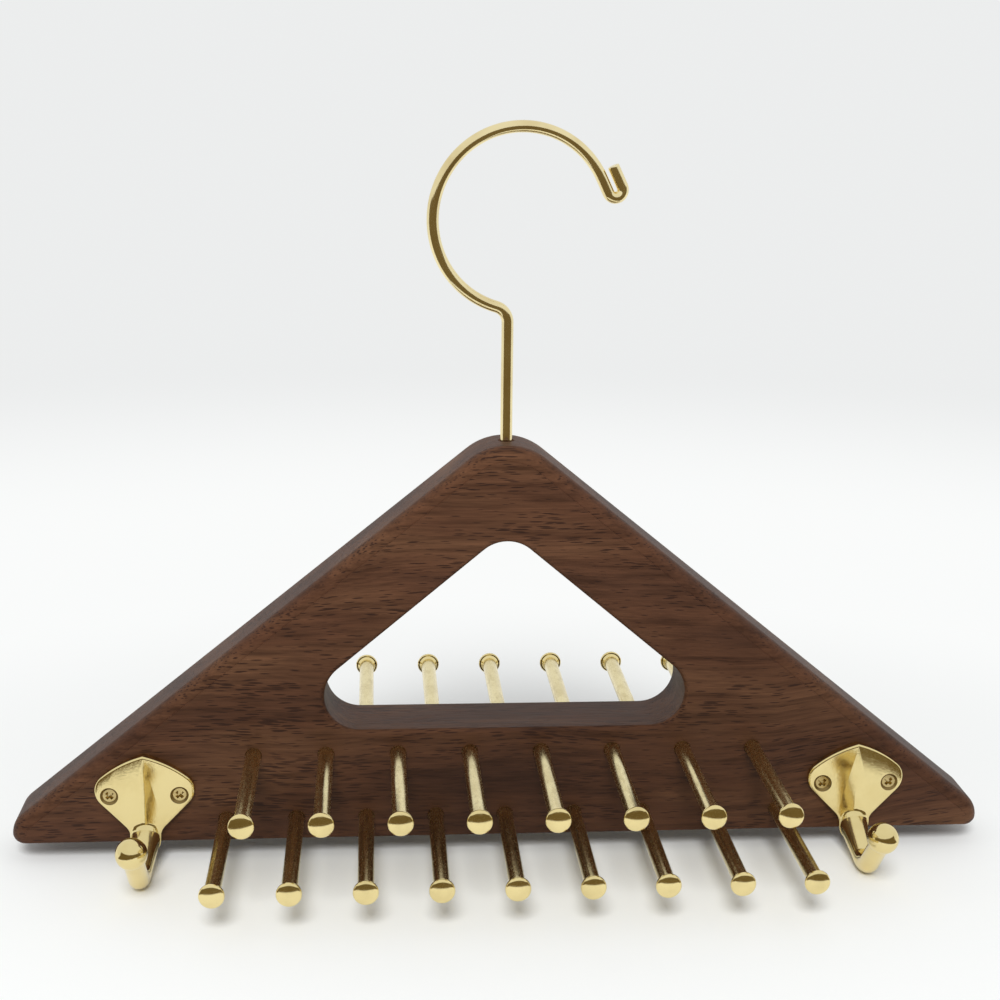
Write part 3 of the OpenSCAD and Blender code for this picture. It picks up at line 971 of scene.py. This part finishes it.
def plate_shape(bm):
    """The plate: its wall with softened front edges, its back, and two front facets."""
    profile = [(inset, -drop) for inset, drop in quarter_round(plate_soft, soft_steps)]
    rings = [outline(bm, plate_corners, inset, drop, plate_steps) for inset, drop in profile]
    for ring in rings:
        for vert in verts_of(ring):
            vert.co.z += plate_thickness(vert.co.x)
    rings.append(outline(bm, plate_corners, 0, 0, plate_steps))
    for ring, following in zip(rings, rings[1:]):
        bmesh.ops.bridge_loops(bm, edges=ring + following)
    front = verts_of(rings[0])
    middle = sorted((vert for vert in front if abs(vert.co.x) < weld), key=lambda vert: vert.co.y)
    if len(middle) < 2:
        raise ValueError("the plate's ridge has no ends")
    ridge = bm.edges.new((middle[0], middle[-1]))
    bmesh.ops.triangle_fill(bm, edges=rings[0] + [ridge], use_beauty=True)
    bmesh.ops.triangle_fill(bm, edges=rings[-1], use_beauty=True)


def flat_back(bm):
    """Files off whatever would lie behind the plate, and closes the cut."""
    cut = bmesh.ops.bisect_plane(
        bm,
        geom=list(bm.verts) + list(bm.edges) + list(bm.faces),
        dist=cut_reach,
        plane_co=(0, 0, back_gap),
        plane_no=(0, 0, 1),
        clear_inner=True,
    )
    rim = [part for part in cut["geom_cut"] if isinstance(part, bmesh.types.BMEdge)]
    if rim:
        bmesh.ops.holes_fill(bm, edges=rim, sides=0)


neck_start = neck_radius - neck_play
arm_start = beside_arm(neck_point)
arm_bend_start = beside_arm(polar(bend_point, arm_bend, back_angle))
arm_run = arm_bend_start - arm_start
arm_taper = (neck_start - arm_radius) / arm_run.length
arm_droop = math.atan2(-arm_run.y, arm_run.z)
taper_length = math.sqrt(1 + arm_taper**2)


def root_point(side_angle, share):
    """A point of the fillet between the plate and the arm, as (radius, length) along the arm. The
    side angle goes round the arm from its right side to its top; the share runs down the fillet."""
    above = max(0.0, math.sin(side_angle))
    fillet = side_fillet + (root_fillet - side_fillet) * min(1.0, above * fillet_rise) ** 2
    lean = math.sin(side_angle) * math.sin(arm_droop)
    level = math.cos(arm_droop)
    slant = math.hypot(lean, level)
    reach = plate_thickness((neck_start + fillet) * math.cos(side_angle)) - neck_out
    centre_length = reach + fillet * slant - (neck_start + fillet * taper_length) * lean
    centre_length /= level - arm_taper * lean
    centre_radius = neck_start - arm_taper * centre_length + fillet * taper_length
    first = math.pi + math.atan2(lean, level)
    last = 1.5 * math.pi - math.atan(arm_taper)
    angle = first + (last - first) * share
    return centre_radius + fillet * math.sin(angle), centre_length + fillet * math.cos(angle)


def arm_shape(bm):
    """The arm: a round root with a fillet against the plate, a taper, a bend and a straight rise."""
    rod = ring_at(bm, (0, 0, -root_in), neck_start, arm_sides)
    close_end(bm, rod)
    for step in range(-1, fillet_steps + 1):
        rod = draw_on(bm, rod, (0, 0, 0))
        for vert in verts_of(rod):
            side_angle = math.atan2(vert.co.y, vert.co.x)
            radius, length = root_point(side_angle, max(0, step) / fillet_steps)
            if step < 0:
                length -= root_lead
            vert.co = (*polar((0, 0), radius, side_angle), length)
    rod = draw_on(bm, rod, (0, 0, 0))
    for vert in verts_of(rod):
        side_angle = math.atan2(vert.co.y, vert.co.x)
        vert.co = (*polar((0, 0), arm_radius, side_angle), arm_run.length)
    aim = Matrix.Rotation(arm_droop, 4, "X")
    bmesh.ops.transform(bm, matrix=Matrix.Translation(arm_start) @ aim, verts=bm.verts)
    rod = bend_on(bm, rod, beside_arm(bend_point), (-1, 0, 0), arm_turn, bend_steps)
    rise = beside_arm(ball_point) - beside_arm(polar(bend_point, arm_bend, front_angle))
    rod = draw_on(bm, rod, rise)
    close_end(bm, rod)


def rough_and_shaded_seats(material):
    """Leaves the screw seats of a brass rough, as the drill made them, and darkens their colour with
    painted shade in the countersinks.
    """
    tree = material.node_tree
    shader = [node for node in tree.nodes if node.type == "BSDF_PRINCIPLED"][0]
    place = add_node(tree, "ShaderNodeTexCoord").outputs["Object"]
    parts = add_node(tree, "ShaderNodeSeparateXYZ", {"Vector": place})
    from_middle = sums(tree, "ABSOLUTE", parts.outputs["X"], 0.0)
    from_ridge = sums(tree, "SUBTRACT", from_middle, board_width / 2 - belt_hook_inset)
    across = sums(tree, "SUBTRACT", sums(tree, "ABSOLUTE", from_ridge, 0.0), screw_x)
    along = sums(tree, "SUBTRACT", parts.outputs["Z"], board_low + belt_hook_z)
    seat_point = add_node(tree, "ShaderNodeCombineXYZ", {"X": across, "Y": along})
    from_axis = add_node(
        tree, "ShaderNodeVectorMath", {0: seat_point.outputs[0]}, operation="LENGTH"
    )
    inside = sums(tree, "LESS_THAN", from_axis.outputs["Value"], seat_mouth)
    bright = shader.inputs["Base Color"].links[0].from_socket
    polished = shader.inputs["Roughness"].links[0].from_socket
    # The seats' darker colour is painted shade; their roughness is the drill's.
    tree.links.new(blend(tree, inside, bright, seat_shade_tone), shader.inputs["Base Color"])
    rough = sums(tree, "MAXIMUM", polished, sums(tree, "MULTIPLY", inside, seat_rough))
    tree.links.new(rough, shader.inputs["Roughness"])


seat_cone = seat_mouth - screw_radius - seat_gap
seat_profile = [
    (0, -seat_over),
    (screw_radius + seat_gap, -seat_over),
    (screw_radius + seat_gap, seat_face - seat_cone),
    (seat_mouth, seat_face),
    (seat_mouth, plate_edge + plate_ridge + seat_over),
    (0, plate_edge + plate_ridge + seat_over),
]
bm = bmesh.new()
plate_shape(bm)
casting = to_object(bm, "belt_hook_casting")
for place in (-screw_x, screw_x):
    hole = Matrix.Translation((place, 0, 0))
    combine(casting, lathe("seat_tool", seat_profile, hole), "DIFFERENCE")
bm = bmesh.new()
arm_shape(bm)
flat_back(bm)
combine(casting, to_object(bm, "arm_tool"), "UNION")
bm = bmesh.new()
bmesh.ops.create_uvsphere(bm, u_segments=ball_sides, v_segments=ball_rows, radius=ball_radius)
bmesh.ops.translate(bm, verts=bm.verts, vec=beside_arm(ball_point))
combine(casting, to_object(bm, "ball_tool"), "UNION")

belt_brass = brass(
    "cast_brass",
    tone=(0.83, 0.69, 0.34, 1),
    dull_tone=(0.72, 0.57, 0.25, 1),
    shine=0.07,
    grain_scale=1300.0,
    dents=0.00012,
)
rough_and_shaded_seats(belt_brass)
belt_seats = {}
for side, which in ((-1, "left"), (1, "right")):
    seat = Matrix.Translation(
        (side * (board_width / 2 - belt_hook_inset), -board_half, board_low + belt_hook_z)
    ) @ Matrix.Rotation(quarter, 4, "X")
    belt_seats[which] = seat
    mesh = casting.data.copy()
    mesh.transform(seat)
    belt_hook = put(f"cast_{which}_belt_hook", mesh)
    smooth(belt_hook, cast_crease)
    belt_hook.data.materials.clear()
    belt_hook.data.materials.append(belt_brass)
    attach(belt_hook, "hanger")
    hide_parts(f"{which}_belt_hook")
bpy.data.objects.remove(casting)


# Screws.
# Four countersunk brass wood screws with a cross in the head hold the belt hooks to the board. Each
# head lies half a millimetre deep in its seat.
screw_point = 0.0028
screw_rim = 0.0002
screw_dome = 0.00005
cross_length = 0.0030
cross_width = 0.0011
cross_depth = 0.0012
cross_over = 0.0005
cross_narrow = 0.7

screw_profile = [
    (0, -screw_in),
    (screw_radius, screw_point - screw_in),
    (screw_radius, screw_face - screw_head + screw_radius),
    (screw_head, screw_face - screw_rim),
    (screw_head - screw_rim, screw_face),
    (0, screw_face + screw_dome),
]
screw_brass = brass(
    "screw_brass",
    tone=(0.62, 0.49, 0.23, 1),
    dull_tone=(0.40, 0.29, 0.12, 1),
    shine=0.18,
    grain_scale=1800.0,
)
for which, seat in belt_seats.items():
    for number, place in ((1, -screw_x), (2, screw_x)):
        middle = seat @ Matrix.Translation((place, 0, 0))
        screw = lathe(f"turned_{which}_hook_screw_{number}", screw_profile, middle)
        for turn in (quarter / 2, 1.5 * quarter):
            bm = bmesh.new()
            bmesh.ops.create_cube(bm, size=1)
            for vert in bm.verts:
                low = vert.co.z < 0
                narrow = cross_narrow if low else 1
                vert.co.x *= cross_length * narrow
                vert.co.y *= cross_width * narrow
                vert.co.z = screw_face - cross_depth if low else screw_face + cross_over
            bmesh.ops.transform(bm, matrix=middle @ Matrix.Rotation(turn, 4, "Z"), verts=bm.verts)
            combine(screw, to_object(bm, "cross_tool"), "DIFFERENCE")
        smooth(screw, cast_crease)
        screw.data.materials.clear()
        screw.data.materials.append(screw_brass)
        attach(screw, "hanger")
        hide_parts(f"{which}_hook_screw_{number}")
